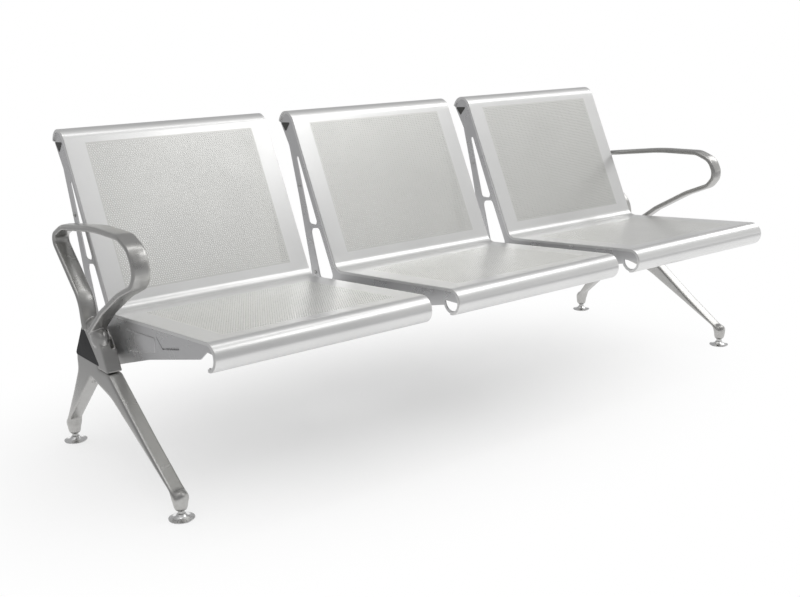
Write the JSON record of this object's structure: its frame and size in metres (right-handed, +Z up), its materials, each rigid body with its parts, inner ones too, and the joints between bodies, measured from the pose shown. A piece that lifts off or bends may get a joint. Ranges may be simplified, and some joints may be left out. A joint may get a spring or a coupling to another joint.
{
  "type": "beam seating",
  "caption": "Waiting-area bench: perforated steel seats on stamped side plates, carried by a triangular beam with cast legs, looped armrests and screw glides.",
  "frame": {"origin": "on the floor, at the centre of the bounding box seen from above", "axes": "+X along the beam to the right of the picture, +Y towards the back of the seats, +Z up"},
  "size_m": [1.8148, 0.7116, 0.732],
  "materials": {
    "shell_finish": "smooth satin silver powder coat on perforated steel sheet",
    "plate_finish": "satin silver powder coat",
    "beam_finish": "satin silver powder coat",
    "casting_finish": "polished and lacquered cast aluminium",
    "cap_plastic": "charcoal moulded plastic",
    "plug_plastic": "dark grey moulded plastic",
    "glide_chrome": "bright chrome plate",
    "screw_finish": "plated steel",
    "zinc_steel": "zinc-plated steel"
  },
  "bodies": {
    "bench": {"armrest_bolts": "zinc_steel", "armrest_left": "casting_finish", "armrest_right": "casting_finish", "beam_end_cap_left": "cap_plastic", "beam_end_cap_right": "cap_plastic", "beam_tube": "beam_finish", "clamp_1_left": "zinc_steel", "clamp_1_right": "zinc_steel", "clamp_2_left": "zinc_steel", "clamp_2_right": "zinc_steel", "clamp_3_left": "zinc_steel", "clamp_3_right": "zinc_steel", "clamp_bolts": "zinc_steel", "foot_insert_left_front": "zinc_steel", "foot_insert_left_rear": "zinc_steel", "foot_insert_right_front": "zinc_steel", "foot_insert_right_rear": "zinc_steel", "leg_bolts": "zinc_steel", "leg_left": "casting_finish", "leg_right": "casting_finish", "nut_plate_left": "zinc_steel", "nut_plate_right": "zinc_steel", "plate_bolts": "zinc_steel", "plate_plug_1_left": "plug_plastic", "plate_plug_1_right": "plug_plastic", "plate_plug_2_left": "plug_plastic", "plate_plug_2_right": "plug_plastic", "plate_plug_3_left": "plug_plastic", "plate_plug_3_right": "plug_plastic", "plate_screws": "screw_finish", "seat_shell_1": "shell_finish", "seat_shell_2": "shell_finish", "seat_shell_3": "shell_finish", "side_plate_1_left": "plate_finish", "side_plate_1_right": "plate_finish", "side_plate_2_left": "plate_finish", "side_plate_2_right": "plate_finish", "side_plate_3_left": "plate_finish", "side_plate_3_right": "plate_finish"},
    "foot_left_front": {"glide_foot_left_front": "glide_chrome"},
    "screw_left_front": {"glide_stem_left_front": "glide_chrome"},
    "foot_left_rear": {"glide_foot_left_rear": "glide_chrome"},
    "screw_left_rear": {"glide_stem_left_rear": "glide_chrome"},
    "foot_right_front": {"glide_foot_right_front": "glide_chrome"},
    "screw_right_front": {"glide_stem_right_front": "glide_chrome"},
    "foot_right_rear": {"glide_foot_right_rear": "glide_chrome"},
    "screw_right_rear": {"glide_stem_right_rear": "glide_chrome"}
  },
  "joints": [
    {"name": "foot_lift_left_front", "type": "slide", "parent": "bench", "child": "foot_left_front", "axis": [0, 0, 1], "range_m": [-0.012, 0.002]},
    {"name": "screw_turn_left_front", "type": "hinge", "parent": "foot_left_front", "child": "screw_left_front", "pos_m": [-0.8765, -0.2198, 0.015], "axis": [0, 0, 1], "range_deg": [-2900, 500]},
    {"name": "foot_lift_left_rear", "type": "slide", "parent": "bench", "child": "foot_left_rear", "axis": [0, 0, 1], "range_m": [-0.012, 0.002]},
    {"name": "screw_turn_left_rear", "type": "hinge", "parent": "foot_left_rear", "child": "screw_left_rear", "pos_m": [-0.8765, 0.3288, 0.015], "axis": [0, 0, 1], "range_deg": [-2900, 500]},
    {"name": "foot_lift_right_front", "type": "slide", "parent": "bench", "child": "foot_right_front", "axis": [0, 0, 1], "range_m": [-0.012, 0.002]},
    {"name": "screw_turn_right_front", "type": "hinge", "parent": "foot_right_front", "child": "screw_right_front", "pos_m": [0.8765, -0.2198, 0.015], "axis": [0, 0, 1], "range_deg": [-2900, 500]},
    {"name": "foot_lift_right_rear", "type": "slide", "parent": "bench", "child": "foot_right_rear", "axis": [0, 0, 1], "range_m": [-0.012, 0.002]},
    {"name": "screw_turn_right_rear", "type": "hinge", "parent": "foot_right_rear", "child": "screw_right_rear", "pos_m": [0.8765, 0.3288, 0.015], "axis": [0, 0, 1], "range_deg": [-2900, 500]}
  ],
  "couplings": [
    {"joint": "screw_turn_left_front", "follows": "foot_lift_left_front", "rad_per_m": 4188.8},
    {"joint": "screw_turn_left_rear", "follows": "foot_lift_left_rear", "rad_per_m": 4188.8},
    {"joint": "screw_turn_right_front", "follows": "foot_lift_right_front", "rad_per_m": 4188.8},
    {"joint": "screw_turn_right_rear", "follows": "foot_lift_right_rear", "rad_per_m": 4188.8}
  ]
}
